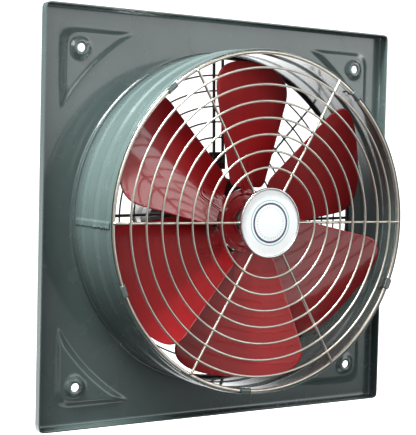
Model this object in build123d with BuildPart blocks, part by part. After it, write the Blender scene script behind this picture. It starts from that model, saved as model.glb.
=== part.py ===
"""Wall-mounted axial exhaust fan: square pressed plate, rolled barrel, wire guards and a six-blade impeller.

Millimetres, +Z up. The guard and badge look towards -Y and the motor sits behind, towards +Y.
The pieces are drawn with y measured from the plate's back, which lies against the wall. Each is
saved moved back by the height of the corner bosses, so that the origin is on the fan's axis, at the
back of the bolt holes.
"""

import math
import os

from build123d import *

os.makedirs("parts", exist_ok=True)

# Plate and its pressed corners
PLATE_SIDE = 500
SHEET = 1.5
FLANGE_DEPTH = 16
PLATE_CORNER = 4
BOLT_SPACING = 402
BOLT_HOLE = 10
GUSSET_REACH = 225
GUSSET_ARC = 257
GUSSET_CORNER = 20
GUSSET_HEIGHT = 3
BOSS_BASE = 13.5
BOSS_HEIGHT = 3
PRESS_SLOPE = 45
BOSS_SLOPE = 50

# Barrel
BARREL_RADIUS = 206.2
BARREL_SHEET = 1.2
BARREL_INSIDE = BARREL_RADIUS - BARREL_SHEET
BARREL_FRONT = -106
BARREL_BACK = 5
COLLAR_HEIGHT = 8
COLLAR_GAP = 0.2
SEAM_ANGLE = 179
SEAM_SPAN = 3.2
SEAM_GAP_TO_COLLAR = 2

# Front guard
SPOKE_WIRE = 1.8
RING_WIRE = 1.4
RIM_WIRE = 2.3
WELD_SINK = 0.3
RIM_Y = -104.5
SPOKE_Y = RIM_Y - RIM_WIRE - SPOKE_WIRE + WELD_SINK
RING_Y = SPOKE_Y - SPOKE_WIRE - RING_WIRE + WELD_SINK
RIM_RADIUS = BARREL_INSIDE - RIM_WIRE - 0.3
RING_PITCH = 19.65
FIRST_RING = 66
RING_COUNT = 7
SPOKE_COUNT = 6
BADGE_RADIUS = 42
CLIP_ANGLES = (51, 131, 202, 263, 337)
CLIP_WIDTH = 14
CLIP_SHEET = 1.0

# Rear guard, turned a little in its seat
REAR_TURN = 1.6
REAR_RIM_WIRE = 2.0
REAR_RIM_RADIUS = BARREL_INSIDE - REAR_RIM_WIRE + 0.1
REAR_RIM_Y = 3.5
ARM_WIRE = 2.0
ARM_HALF_GAP = 6.5
ARM_Y = REAR_RIM_Y + REAR_RIM_WIRE + ARM_WIRE - WELD_SINK
ARM_BEND_RADIUS = 74
REAR_RING_WIRE = 1.0
REAR_RING_Y = ARM_Y - ARM_WIRE - REAR_RING_WIRE + WELD_SINK
REAR_FIRST_RING = 83
REAR_RING_COUNT = 6
REAR_SPOKE_WIRE = 1.5

# Impeller
BLADE_COUNT = 6
BLADE_TURN = -1.5
BLADE_PITCH = 24.6
BLADE_Y = -56
BLADE_TIP = 194
BLADE_ROOT = 41
BLADE_SHEET = 1.2
BLADE_EDGE_START = 20.5
BLADE_EDGE_SLOPE = 0.38
BLADE_TIP_CORNER = 38
BLADE_ROOT_CORNER = 10
BLADE_FOLD = 4.0
CREASE_REAR = -14
CREASE_FRONT = 20
SPIDER_RADIUS = 39
SPIDER_SHEET = 2.0
ARM_START = 31
ARM_END = 78
ARM_WIDTH = 25
RIVET_SHANK = 2.05
RIVET_HEAD = 3.6
BLADE_RIVETS = ((50, 4.5), (50, -4.5), (69, 0))
HUB_RIVET_RADIUS = 23
HUB_BOSS = 14
HUB_BORE = 6.0

# Motor
MOTOR_RADIUS = 52
SHELL_SHEET = 2.0
SHELL_FRONT = 8.5
SHELL_BACK = 80
TIE_RADIUS = 56.5
TIE_ROD = 2.5
BRACKET_SHEET = 2.0
BRACKET_BOLT_Y = 17.5
BRACKET_BOLT = 3.0
BEARING_OUTSIDE = 17.5
BEARING_INSIDE = 7.5
BEARING_WIDTH = 11
RACE_OUTER = 14.6
RACE_INNER = 10.6
CORE_FRONT = 32
CORE_BACK = 68
AIR_GAP = 0.5
STATOR_BORE = 34
SLOT_COUNT = 24
SLOT_WIDTH = 3.8


def front_plane(y, turn=0):
    """A plane square to the axis at that y, facing -Y: its x is +X and its y is +Z before it is turned."""
    a = math.radians(turn)
    return Plane(origin=(0, y, 0), x_dir=(math.cos(a), 0, math.sin(a)), z_dir=(0, -1, 0))


def radial_plane(angle, radius, y):
    """A plane that faces straight out from the axis, at that angle and radius."""
    a = math.radians(angle)
    out = (math.cos(a), 0, math.sin(a))
    return Plane(origin=(radius * out[0], y, radius * out[2]), x_dir=(0, 1, 0), z_dir=out)


def half_plane(angle):
    """A plane that holds the axis: its x is the radius at that angle and its y is +Y."""
    a = math.radians(angle)
    return Plane(origin=(0, 0, 0), x_dir=(math.cos(a), 0, math.sin(a)), z_dir=(-math.sin(a), 0, math.cos(a)))


def save(part, name):
    """Moves a finished piece to the bolt holes' origin, labels it and writes it as its own node."""
    placed = part.moved(Location((0, GUSSET_HEIGHT + BOSS_HEIGHT, 0)))
    placed.label = name
    export_step(placed, f"parts/{name}.step")


def turned(part, angle):
    """The part turned anticlockwise about the fan's axis, seen from the front."""
    return part.rotate(Axis.Y, -angle)


# ---------------------------------------------------------------- mounting plate


def gusset_outline(inset, corner, tips):
    """Makes the outline of one pressed corner: two straight sides and an arc that runs along the barrel."""
    reach = GUSSET_REACH - inset
    arc = GUSSET_ARC + inset
    near = math.sqrt(arc**2 - reach**2)
    with BuildSketch() as outline:
        with BuildLine():
            Line((near, reach), (reach, reach))
            Line((reach, reach), (reach, near))
            ThreePointArc((reach, near), (arc / math.sqrt(2), arc / math.sqrt(2)), (near, reach))
        make_face()
        by_side = outline.vertices().sort_by(lambda v: v.X - v.Y)
        fillet(by_side[1], corner)
        fillet(outline.vertices().sort_by(lambda v: v.X - v.Y)[0], tips)
        fillet(outline.vertices().sort_by(lambda v: v.X - v.Y)[-1], tips)
    return outline.sketch_local


with BuildPart() as mounting_plate:
    with BuildSketch(front_plane(0)):
        RectangleRounded(PLATE_SIDE, PLATE_SIDE, PLATE_CORNER)
    extrude(amount=FLANGE_DEPTH)
    with BuildSketch(front_plane(-SHEET)):
        RectangleRounded(PLATE_SIDE - 2 * SHEET, PLATE_SIDE - 2 * SHEET, PLATE_CORNER - SHEET)
    extrude(amount=FLANGE_DEPTH, mode=Mode.SUBTRACT)
    back_rim = mounting_plate.edges().filter_by(Plane.XZ).group_by(Axis.Y)[-1]
    fillet(back_rim, 3)
    with BuildSketch(front_plane(0)):
        Circle(BARREL_RADIUS + COLLAR_GAP + SHEET)
    extrude(amount=COLLAR_HEIGHT + SHEET)
    with BuildSketch(front_plane(0)):
        Circle(BARREL_RADIUS + COLLAR_GAP)
    extrude(amount=COLLAR_HEIGHT + SHEET, mode=Mode.SUBTRACT)
    for quarter in range(4):
        corner_plane = front_plane(-SHEET, 90 * quarter)
        with BuildSketch(corner_plane):
            add(gusset_outline(0, GUSSET_CORNER, 7))
        extrude(amount=GUSSET_HEIGHT, taper=PRESS_SLOPE)
        back_plane = front_plane(0, 90 * quarter)
        with BuildSketch(back_plane):
            add(gusset_outline(1.2, GUSSET_CORNER - 1, 6))
        extrude(amount=GUSSET_HEIGHT, taper=PRESS_SLOPE, mode=Mode.SUBTRACT)
        hole_at = (BOLT_SPACING / 2, BOLT_SPACING / 2)
        with BuildSketch(corner_plane.offset(GUSSET_HEIGHT)):
            with Locations(hole_at):
                Circle(BOSS_BASE)
        extrude(amount=BOSS_HEIGHT, taper=BOSS_SLOPE)
        with BuildSketch(back_plane.offset(GUSSET_HEIGHT)):
            with Locations(hole_at):
                Circle(BOSS_BASE - 1)
        extrude(amount=BOSS_HEIGHT, taper=BOSS_SLOPE, mode=Mode.SUBTRACT)
    with BuildSketch(front_plane(0)):
        with GridLocations(BOLT_SPACING, BOLT_SPACING, 2, 2):
            Circle(BOLT_HOLE / 2)
    extrude(amount=4 * FLANGE_DEPTH, mode=Mode.SUBTRACT)
save(mounting_plate.part, "mounting_plate")

# ---------------------------------------------------------------- barrel

# Each rolled bead of the barrel: its y, its width and its height
BEADS = ((-30, 9, 1.4), (-66, 12, 2.6), (-97, 8, 1.2))


def barrel_wall(inside, outside, y_from, y_to):
    """Makes the wall's section between two radii, from back to front, with its beads, as a face."""
    half = (inside + outside) / 2
    with BuildSketch() as section:
        with Locations((half, (y_from + y_to) / 2)):
            Rectangle(outside - inside, y_from - y_to)
        for y, width, height in BEADS:
            with Locations((half, y)):
                Rectangle(outside - inside, width, mode=Mode.SUBTRACT)
            with BuildLine():
                ThreePointArc((outside, y + width / 2), (outside + height, y), (outside, y - width / 2))
                Line((outside, y - width / 2), (inside, y - width / 2))
                ThreePointArc((inside, y - width / 2), (inside + height, y), (inside, y + width / 2))
                Line((inside, y + width / 2), (outside, y + width / 2))
            make_face()
    return section.sketch_local


seam_back = -COLLAR_HEIGHT - SHEET - SEAM_GAP_TO_COLLAR
with BuildPart() as barrel:
    with BuildSketch(Plane.XY):
        add(barrel_wall(BARREL_INSIDE, BARREL_RADIUS, BARREL_BACK, BARREL_FRONT))
    revolve(axis=Axis.Y, revolution_arc=360)
    # The sheet's outer end laps over its inner end along one side
    with BuildSketch(half_plane(SEAM_ANGLE)):
        add(barrel_wall(BARREL_RADIUS - BARREL_SHEET / 2, BARREL_RADIUS + 0.9, seam_back, BARREL_FRONT))
    revolve(axis=Axis.Y, revolution_arc=SEAM_SPAN)
save(barrel.part, "barrel")

# ---------------------------------------------------------------- front guard

with BuildPart() as guard_rim_ring:
    with Locations((0, RIM_Y, 0)):
        Torus(RIM_RADIUS, RIM_WIRE, rotation=(90, 0, 0))
save(guard_rim_ring.part, "guard_rim_ring")

for ring in range(RING_COUNT):
    with BuildPart() as guard_ring:
        with Locations((0, RING_Y, 0)):
            Torus(FIRST_RING + ring * RING_PITCH, RING_WIRE, rotation=(90, 0, 0))
    save(guard_ring.part, f"guard_ring_{ring + 1}")

BADGE_PLATE_SHEET = 1.2
badge_plate_back = SPOKE_Y - SPOKE_WIRE + WELD_SINK
badge_plate_front = badge_plate_back - BADGE_PLATE_SHEET
SPOKE_START = 24
with BuildPart() as guard_spokes:
    for spoke in range(SPOKE_COUNT):
        with BuildSketch(radial_plane(360 / SPOKE_COUNT * spoke, SPOKE_START, SPOKE_Y)):
            Circle(SPOKE_WIRE)
        extrude(amount=RIM_RADIUS + 1 - SPOKE_START)
save(guard_spokes.part, "guard_spokes")

with BuildPart() as badge_plate:
    with BuildSketch(front_plane(badge_plate_back)):
        Circle(BADGE_RADIUS - 3)
    extrude(amount=BADGE_PLATE_SHEET)
save(badge_plate.part, "badge_plate")

BADGE_FACE_RADIUS = BADGE_RADIUS - 2.5
with BuildPart() as badge_face:
    with BuildSketch(front_plane(badge_plate_front)):
        Circle(BADGE_FACE_RADIUS)
    extrude(amount=2.2)
save(badge_face.part, "badge_face")

with BuildPart() as badge_bezel:
    with BuildSketch(Plane.XY):
        with Locations(((BADGE_RADIUS + BADGE_FACE_RADIUS) / 2, badge_plate_front - 1.1)):
            RectangleRounded(BADGE_RADIUS - BADGE_FACE_RADIUS, 4.6, 1.0)
    revolve(axis=Axis.Y, revolution_arc=360)
save(badge_bezel.part, "badge_bezel")

# A clip hooks over the rim ring from a tab on the barrel's inner wall
clip_wall = BARREL_INSIDE - 0.2 - CLIP_SHEET / 2
clip_inner = RIM_RADIUS - RIM_WIRE - 0.3 - CLIP_SHEET / 2
clip_front = RIM_Y - RIM_WIRE - 0.3 - CLIP_SHEET / 2
with BuildPart() as guard_clips:
    for clip_angle in CLIP_ANGLES:
        with BuildSketch(half_plane(clip_angle)):
            with BuildLine():
                Polyline(
                    (clip_wall, -84),
                    (clip_wall, -95),
                    (clip_inner, -100),
                    (clip_inner, clip_front),
                    (BARREL_RADIUS + 0.4, clip_front),
                )
            trace(line_width=CLIP_SHEET)
        extrude(amount=CLIP_WIDTH / 2, both=True)
save(guard_clips.part, "guard_clips")

# ---------------------------------------------------------------- rear guard and motor arms

with BuildPart() as rear_rim_ring:
    with Locations((0, REAR_RIM_Y, 0)):
        Torus(REAR_RIM_RADIUS, REAR_RIM_WIRE, rotation=(90, 0, 0))
save(rear_rim_ring.part, "rear_rim_ring")

with BuildPart() as rear_rings:
    for ring in range(REAR_RING_COUNT):
        with Locations((0, REAR_RING_Y, 0)):
            Torus(REAR_FIRST_RING + ring * RING_PITCH, REAR_RING_WIRE, rotation=(90, 0, 0))
save(rear_rings.part, "rear_rings")

with BuildPart() as rear_spokes:
    for quarter in range(4):
        with BuildSketch(radial_plane(45 + 90 * quarter + REAR_TURN, REAR_FIRST_RING, ARM_Y - 0.5)):
            Circle(REAR_SPOKE_WIRE)
        extrude(amount=REAR_RIM_RADIUS + 1 - REAR_FIRST_RING)
save(rear_spokes.part, "rear_spokes")

with BuildPart() as motor_arm:
    with BuildLine(front_plane(ARM_Y)) as hairpin:
        Line((ARM_HALF_GAP, REAR_RIM_RADIUS + 1), (ARM_HALF_GAP, ARM_BEND_RADIUS))
        ThreePointArc(
            (ARM_HALF_GAP, ARM_BEND_RADIUS), (0, ARM_BEND_RADIUS - ARM_HALF_GAP), (-ARM_HALF_GAP, ARM_BEND_RADIUS)
        )
        Line((-ARM_HALF_GAP, ARM_BEND_RADIUS), (-ARM_HALF_GAP, REAR_RIM_RADIUS + 1))
    with BuildSketch(Plane(origin=(ARM_HALF_GAP, ARM_Y, REAR_RIM_RADIUS + 1), z_dir=(0, 0, -1))):
        Circle(ARM_WIRE)
    sweep()
for quarter, side in enumerate(("top", "left", "bottom", "right")):
    save(turned(motor_arm.part, 90 * quarter + REAR_TURN), f"motor_arm_{side}")

# An angle bracket joins each arm to a rubber-mounted bolt on the motor's side
bracket_face = ARM_Y + ARM_WIRE - WELD_SINK
bracket_out = 64
bracket_tall = BRACKET_BOLT_Y + 8
with BuildPart() as arm_bracket:
    with Locations((0, bracket_face + BRACKET_SHEET / 2, bracket_out + 10)):
        Box(23, BRACKET_SHEET, 20)
    with Locations((0, (bracket_face + bracket_tall) / 2, bracket_out - BRACKET_SHEET / 2)):
        Box(23, bracket_tall - bracket_face, BRACKET_SHEET)
    with BuildSketch(radial_plane(90, 0, BRACKET_BOLT_Y)):
        Circle(BRACKET_BOLT)
    extrude(amount=100, mode=Mode.SUBTRACT)
    fillet(arm_bracket.edges().filter_by(Axis.Z).group_by(Axis.Y)[-1], 4)

BUSH_RADIUS = 8
WASHER_SHEET = 1.2
bush_top = bracket_out - BRACKET_SHEET
with BuildPart() as arm_bush:
    with BuildSketch(radial_plane(90, 0, BRACKET_BOLT_Y)):
        Circle(BUSH_RADIUS)
        Circle(BRACKET_BOLT, mode=Mode.SUBTRACT)
    extrude(amount=bush_top)
    with Locations((0, 40, 0)):
        Cylinder(MOTOR_RADIUS, 100, rotation=(90, 0, 0), mode=Mode.SUBTRACT)
with BuildPart() as arm_washer:
    with BuildSketch(radial_plane(90, bracket_out, BRACKET_BOLT_Y)):
        Circle(6.5)
        Circle(BRACKET_BOLT, mode=Mode.SUBTRACT)
    extrude(amount=WASHER_SHEET)
with BuildPart() as arm_bolt:
    with BuildSketch(radial_plane(90, bracket_out + WASHER_SHEET, BRACKET_BOLT_Y)):
        RegularPolygon(5, 6, major_radius=False)
    extrude(amount=4)
    with BuildSketch(radial_plane(90, 45, BRACKET_BOLT_Y)):
        Circle(BRACKET_BOLT)
    extrude(amount=bracket_out + WASHER_SHEET - 45)
with BuildPart() as arm_nut:
    with BuildSketch(radial_plane(90, 45.6, BRACKET_BOLT_Y)):
        RegularPolygon(5, 6, major_radius=False, rotation=30)
        Circle(BRACKET_BOLT, mode=Mode.SUBTRACT)
    extrude(amount=3.4)


def four_around(part, name):
    """Writes four copies of a part, one at each arm, as one node of separate solids."""
    copies = [turned(part, 90 * quarter + REAR_TURN) for quarter in range(4)]
    save(Compound(copies), name)


four_around(arm_bracket.part, "arm_brackets")
four_around(arm_bush.part, "arm_bushes")
four_around(arm_washer.part, "arm_washers")
four_around(arm_bolt.part, "arm_bolts")
four_around(arm_nut.part, "arm_nuts")

# ---------------------------------------------------------------- motor

motor_middle = (SHELL_FRONT + SHELL_BACK) / 2
with BuildPart() as motor_shell:
    with Locations((0, motor_middle, 0)):
        Cylinder(MOTOR_RADIUS, SHELL_BACK - SHELL_FRONT, rotation=(90, 0, 0))
        Cylinder(MOTOR_RADIUS - SHELL_SHEET, SHELL_BACK, rotation=(90, 0, 0), mode=Mode.SUBTRACT)
    for quarter in range(4):
        with BuildSketch(radial_plane(90 * quarter + REAR_TURN, 0, BRACKET_BOLT_Y)):
            Circle(BRACKET_BOLT)
        extrude(amount=MOTOR_RADIUS + 5, mode=Mode.SUBTRACT)
save(motor_shell.part, "motor_shell")

seat = MOTOR_RADIUS - SHELL_SHEET
SHIELD_OUTSIDE = ((23, -5), (40, -2), (49, 3), (MOTOR_RADIUS, 7), (MOTOR_RADIUS, SHELL_FRONT))
SHIELD_SPIGOT = ((seat, SHELL_FRONT), (seat, 12), (seat - 3, 12), (46, 7.5), (39, 2), (23, -1))
SHIELD_SEAT = ((22.5, 7), (BEARING_OUTSIDE, 7), (BEARING_OUTSIDE, -5))
SHIELD_OPEN = ((9, -5), (9, -8), (20, -8))
SHIELD_CLOSED = ((15, -5), (15, -6.2), (0, -6.2), (0, -8), (20, -8))
EAR_THICK = 5.5


def end_shield(nose):
    """Makes an end shield that faces the front, with a bearing seat and four ears for the tie bolts."""
    with BuildPart() as shield:
        with BuildSketch(Plane.XY):
            Polygon(*SHIELD_OUTSIDE, *SHIELD_SPIGOT, *SHIELD_SEAT, *nose, align=None)
        revolve(axis=Axis.Y, revolution_arc=360)
        with BuildSketch(front_plane(SHELL_FRONT)):
            with PolarLocations((TIE_RADIUS + 48) / 2, 4, start_angle=45):
                Rectangle(TIE_RADIUS - 48, 12)
            with PolarLocations(TIE_RADIUS, 4, start_angle=45):
                Circle(6)
                Circle(TIE_ROD, mode=Mode.SUBTRACT)
            Circle(47, mode=Mode.SUBTRACT)
        extrude(amount=EAR_THICK)
    return shield.part


front_shield = end_shield(SHIELD_OPEN)
save(front_shield, "front_end_shield")
rear_shield = end_shield(SHIELD_CLOSED).mirror(Plane.XZ)
save(rear_shield.moved(Location((0, 2 * motor_middle, 0))), "rear_end_shield")

tie_front = SHELL_FRONT - EAR_THICK
tie_back = SHELL_BACK + EAR_THICK
with BuildPart() as tie_bolts:
    with BuildSketch(front_plane(tie_front)):
        with PolarLocations(TIE_RADIUS, 4, start_angle=45):
            RegularPolygon(4.5, 6, major_radius=False)
    extrude(amount=3.5)
    with BuildSketch(front_plane(tie_back + 8)):
        with PolarLocations(TIE_RADIUS, 4, start_angle=45):
            Circle(TIE_ROD)
    extrude(amount=tie_back + 8 - tie_front)
save(tie_bolts.part, "tie_bolts")

with BuildPart() as tie_nuts:
    with BuildSketch(front_plane(tie_back + 4)):
        with PolarLocations(TIE_RADIUS, 4, start_angle=45):
            RegularPolygon(4.5, 6, major_radius=False)
            Circle(TIE_ROD, mode=Mode.SUBTRACT)
    extrude(amount=4)
save(tie_nuts.part, "tie_nuts")

core_length = CORE_BACK - CORE_FRONT
with BuildPart() as stator_core:
    with BuildSketch(front_plane(CORE_BACK)):
        Circle(seat)
        Circle(STATOR_BORE, mode=Mode.SUBTRACT)
        with PolarLocations(40, SLOT_COUNT):
            Rectangle(10, SLOT_WIDTH, mode=Mode.SUBTRACT)
        with PolarLocations(34.5, SLOT_COUNT):
            Rectangle(3, 1.6, mode=Mode.SUBTRACT)
    extrude(amount=core_length)
save(stator_core.part, "stator_core")

WINDING_REACH = 8
with BuildPart() as stator_winding:
    with BuildSketch(front_plane(CORE_BACK + 2)):
        with PolarLocations(40, SLOT_COUNT):
            Rectangle(8.6, SLOT_WIDTH - 0.4)
    extrude(amount=core_length + 4)
    for y_start in (CORE_FRONT - 0.5, CORE_BACK + 0.5 + WINDING_REACH):
        with BuildSketch(front_plane(y_start)):
            Circle(45)
            Circle(36, mode=Mode.SUBTRACT)
        extrude(amount=WINDING_REACH)
save(stator_winding.part, "stator_winding")

bearing_fronts = (-5, 2 * motor_middle + 5 - BEARING_WIDTH)


def bearing_pair(outside, inside):
    """Makes the same ring at both bearings."""
    with BuildPart() as rings:
        for y_start in bearing_fronts:
            with BuildSketch(front_plane(y_start + BEARING_WIDTH)):
                Circle(outside)
                Circle(inside, mode=Mode.SUBTRACT)
            extrude(amount=BEARING_WIDTH)
    return rings.part


save(bearing_pair(BEARING_OUTSIDE, RACE_OUTER), "bearing_outer_rings")
save(bearing_pair(RACE_INNER, BEARING_INSIDE), "bearing_inner_rings")

BALL_COUNT = 8
ball_track = (RACE_OUTER + RACE_INNER) / 2
with BuildPart() as bearing_balls:
    for y_start in bearing_fronts:
        for ball in range(BALL_COUNT):
            turn = 2 * math.pi * ball / BALL_COUNT
            at = (ball_track * math.cos(turn), y_start + BEARING_WIDTH / 2, ball_track * math.sin(turn))
            with Locations(at):
                Sphere((RACE_OUTER - RACE_INNER) / 2 - 0.05)
save(bearing_balls.part, "bearing_balls")

# Terminal box on top of the motor, with its lid, screws and cable gland
BOX_WIDE = 46
BOX_LONG = 38
BOX_TOP = 76
BOX_Y = 55
box_tall = BOX_TOP - 44
with BuildPart() as terminal_box:
    with BuildSketch(Plane.XY.offset(44)):
        with Locations((0, BOX_Y)):
            RectangleRounded(BOX_WIDE, BOX_LONG, 4)
    extrude(amount=box_tall)
    with BuildSketch(Plane.XY.offset(MOTOR_RADIUS + 3)):
        with Locations((0, BOX_Y)):
            RectangleRounded(BOX_WIDE - 5, BOX_LONG - 5, 2)
    extrude(amount=box_tall, mode=Mode.SUBTRACT)
    with BuildSketch(Plane.XY.offset(MOTOR_RADIUS + 3)):
        with Locations((0, BOX_Y)):
            with GridLocations(BOX_WIDE - 9, BOX_LONG - 9, 2, 2):
                Circle(3.6)
    extrude(amount=BOX_TOP - MOTOR_RADIUS - 3)
    with BuildSketch(Plane.XY.offset(BOX_TOP)):
        with Locations((0, BOX_Y)):
            with GridLocations(BOX_WIDE - 9, BOX_LONG - 9, 2, 2):
                Circle(1.5)
    extrude(amount=-12, mode=Mode.SUBTRACT)
    with BuildSketch(front_plane(BOX_Y + BOX_LONG)):
        with Locations((0, 66)):
            Circle(6)
    extrude(amount=BOX_LONG, mode=Mode.SUBTRACT)
    with Locations((0, motor_middle, 0)):
        Cylinder(MOTOR_RADIUS, 200, rotation=(90, 0, 0), mode=Mode.SUBTRACT)
save(terminal_box.part, "terminal_box")

with BuildPart() as terminal_lid:
    with BuildSketch(Plane.XY.offset(BOX_TOP)):
        with Locations((0, BOX_Y)):
            RectangleRounded(BOX_WIDE + 1, BOX_LONG + 1, 4.5)
            with GridLocations(BOX_WIDE - 9, BOX_LONG - 9, 2, 2):
                Circle(1.5, mode=Mode.SUBTRACT)
    extrude(amount=2.5)
save(terminal_lid.part, "terminal_lid")

with BuildPart() as lid_screws:
    with BuildSketch(Plane.XY.offset(BOX_TOP + 2.5)):
        with Locations((0, BOX_Y)):
            with GridLocations(BOX_WIDE - 9, BOX_LONG - 9, 2, 2):
                Circle(2.8)
    extrude(amount=1.8)
    with BuildSketch(Plane.XY.offset(BOX_TOP + 2.5)):
        with Locations((0, BOX_Y)):
            with GridLocations(BOX_WIDE - 9, BOX_LONG - 9, 2, 2):
                Circle(1.5)
    extrude(amount=-12)
save(lid_screws.part, "lid_screws")

gland_y = BOX_Y + BOX_LONG / 2
with BuildPart() as cable_gland:
    with BuildSketch(front_plane(gland_y + 4)):
        with Locations((0, 66)):
            RegularPolygon(8.5, 6, major_radius=False)
    extrude(amount=4)
    with BuildSketch(front_plane(gland_y + 14)):
        with Locations((0, 66)):
            Circle(7.5)
    extrude(amount=10)
    with BuildSketch(front_plane(gland_y + 1)):
        with Locations((0, 66)):
            Circle(6)
    extrude(amount=3.5)
    with BuildSketch(front_plane(gland_y + 14)):
        with Locations((0, 66)):
            Circle(3.5)
    extrude(amount=20, mode=Mode.SUBTRACT)
    front_lip = cable_gland.edges().filter_by(GeomType.CIRCLE).group_by(Axis.Y)[-1]
    fillet(front_lip, 1.2)
save(cable_gland.part, "cable_gland")

# Capacitor beside the motor, in a strap
CAPACITOR = 16
CAPACITOR_X = -(MOTOR_RADIUS + 4 + CAPACITOR)
with BuildPart() as capacitor:
    with BuildSketch(front_plane(82)):
        with Locations((CAPACITOR_X, 0)):
            Circle(CAPACITOR)
    extrude(amount=50)
    fillet(capacitor.edges().filter_by(GeomType.CIRCLE), 2)
save(capacitor.part, "capacitor")

with BuildPart() as capacitor_strap:
    with BuildSketch(front_plane(64)):
        with Locations((CAPACITOR_X, 0)):
            Circle(CAPACITOR + 1.4)
        with Locations((CAPACITOR_X / 2 - 20, 0)):
            Rectangle(36, 16)
        with Locations((CAPACITOR_X, 0)):
            Circle(CAPACITOR, mode=Mode.SUBTRACT)
        Circle(MOTOR_RADIUS, mode=Mode.SUBTRACT)
    extrude(amount=12)
save(capacitor_strap.part, "capacitor_strap")

# ---------------------------------------------------------------- impeller

with BuildPart() as motor_shaft:
    with BuildSketch(Plane.XY):
        Polygon(
            (0, -67), (5, -67), (HUB_BORE, -66), (HUB_BORE, -42), (7, -42), (7, -5), (BEARING_INSIDE, -5),
            (BEARING_INSIDE, 6), (8.5, 6), (8.5, CORE_FRONT - 3), (9, CORE_FRONT - 3), (9, CORE_BACK + 3),
            (8.5, CORE_BACK + 3), (8.5, bearing_fronts[1]), (BEARING_INSIDE, bearing_fronts[1]),
            (BEARING_INSIDE, 93.5), (7, 94), (0, 94), align=None,
        )
    revolve(axis=Axis.Y, revolution_arc=360)
save(motor_shaft.part, "motor_shaft")

ROTOR_RADIUS = STATOR_BORE - AIR_GAP
with BuildPart() as rotor_core:
    with BuildSketch(front_plane(CORE_BACK)):
        Circle(ROTOR_RADIUS)
        Circle(9, mode=Mode.SUBTRACT)
        with PolarLocations(16, 6):
            Circle(3, mode=Mode.SUBTRACT)
    extrude(amount=core_length)
save(rotor_core.part, "rotor_core")

with BuildPart() as rotor_end_rings:
    for y_start in (CORE_FRONT, CORE_BACK + 3):
        with BuildSketch(front_plane(y_start)):
            Circle(ROTOR_RADIUS - 0.8)
            Circle(22, mode=Mode.SUBTRACT)
        extrude(amount=3)
save(rotor_end_rings.part, "rotor_end_rings")

hub_front = BLADE_Y
with BuildPart() as hub:
    with BuildSketch(front_plane(hub_front + 5)):
        Circle(29)
    extrude(amount=5)
    with BuildSketch(front_plane(-43)):
        Circle(HUB_BOSS)
    extrude(amount=20)
    with BuildSketch(front_plane(0)):
        Circle(HUB_BORE)
        with PolarLocations(HUB_RIVET_RADIUS, 6, start_angle=30 + BLADE_TURN):
            Circle(RIVET_SHANK)
    extrude(amount=90, mode=Mode.SUBTRACT)
    with BuildSketch(radial_plane(90, HUB_BORE, -47)):
        Circle(2)
    extrude(amount=20, mode=Mode.SUBTRACT)
    fillet(hub.edges().filter_by(GeomType.CIRCLE).group_by(Axis.Y)[0].sort_by(SortBy.RADIUS)[-1], 1.5)
save(hub.part, "hub")

with BuildPart() as set_screw:
    with BuildSketch(radial_plane(90, HUB_BORE, -47)):
        Circle(2)
    extrude(amount=HUB_BOSS + 1 - HUB_BORE)
save(set_screw.part, "set_screw")

with BuildPart() as hub_rivets:
    with BuildSketch(front_plane(hub_front + 5)):
        with PolarLocations(HUB_RIVET_RADIUS, 6, start_angle=30 + BLADE_TURN):
            Circle(RIVET_SHANK)
    extrude(amount=5 + SPIDER_SHEET)
    for y_start in (hub_front - SPIDER_SHEET, hub_front + 5 + 1.5):
        with BuildSketch(front_plane(y_start)):
            with PolarLocations(HUB_RIVET_RADIUS, 6, start_angle=30 + BLADE_TURN):
                Circle(RIVET_HEAD)
        extrude(amount=1.5)
save(hub_rivets.part, "hub_rivets")

pitch = math.radians(BLADE_PITCH)


def blade_frame(angle):
    """The directions of one blade: out along it, across its chord towards the front edge, and its face."""
    a = math.radians(angle)
    along = (math.cos(a), 0, math.sin(a))
    face = (
        math.sin(a) * math.sin(pitch),
        -math.cos(pitch),
        -math.cos(a) * math.sin(pitch),
    )
    across = (-math.sin(a) * math.cos(pitch), -math.sin(pitch), math.cos(a) * math.cos(pitch))
    return along, across, face


def blade_plane(angle):
    """The plane of one blade's middle strip: x runs out along it, y across its chord, z out of its front."""
    along, across, face = blade_frame(angle)
    return Plane(origin=(0, BLADE_Y, 0), x_dir=along, z_dir=face)


def blade_section_plane(angle):
    """The plane square to a blade at its root: x runs across the chord and y out of its front."""
    along, across, face = blade_frame(angle)
    root = (along[0] * BLADE_ROOT, BLADE_Y, along[2] * BLADE_ROOT)
    return Plane(origin=root, x_dir=across, z_dir=along)


def blade_sheet(angle):
    """Makes one blade: a sheet with two lengthwise folds, cut to a widening outline with rounded corners."""
    root_half = BLADE_EDGE_START + BLADE_EDGE_SLOPE * BLADE_ROOT
    end = 178
    end_half = BLADE_EDGE_START + BLADE_EDGE_SLOPE * end
    wide = 95
    with BuildPart() as blade:
        with BuildSketch(blade_section_plane(angle)):
            Polygon(
                (-wide, BLADE_FOLD), (CREASE_REAR, 0), (CREASE_FRONT, 0), (wide, BLADE_FOLD),
                (wide, BLADE_FOLD - BLADE_SHEET), (CREASE_FRONT, -BLADE_SHEET),
                (CREASE_REAR, -BLADE_SHEET), (-wide, BLADE_FOLD - BLADE_SHEET), align=None,
            )
        extrude(amount=BLADE_TIP)
        with BuildSketch(blade_plane(angle).offset(-10)) as outline:
            with BuildLine():
                Line((BLADE_ROOT, -root_half), (end, -end_half))
                ThreePointArc((end, -end_half), (BLADE_TIP, 0), (end, end_half))
                Line((end, end_half), (BLADE_ROOT, root_half))
                Line((BLADE_ROOT, root_half), (BLADE_ROOT, -root_half))
            make_face()
            fillet(outline.vertices().group_by(Axis.X)[-1], BLADE_TIP_CORNER)
            fillet(outline.vertices().group_by(Axis.X)[0], BLADE_ROOT_CORNER)
            with Locations(*BLADE_RIVETS):
                Circle(RIVET_SHANK, mode=Mode.SUBTRACT)
        extrude(amount=20, mode=Mode.INTERSECT)
    return blade.part


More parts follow.
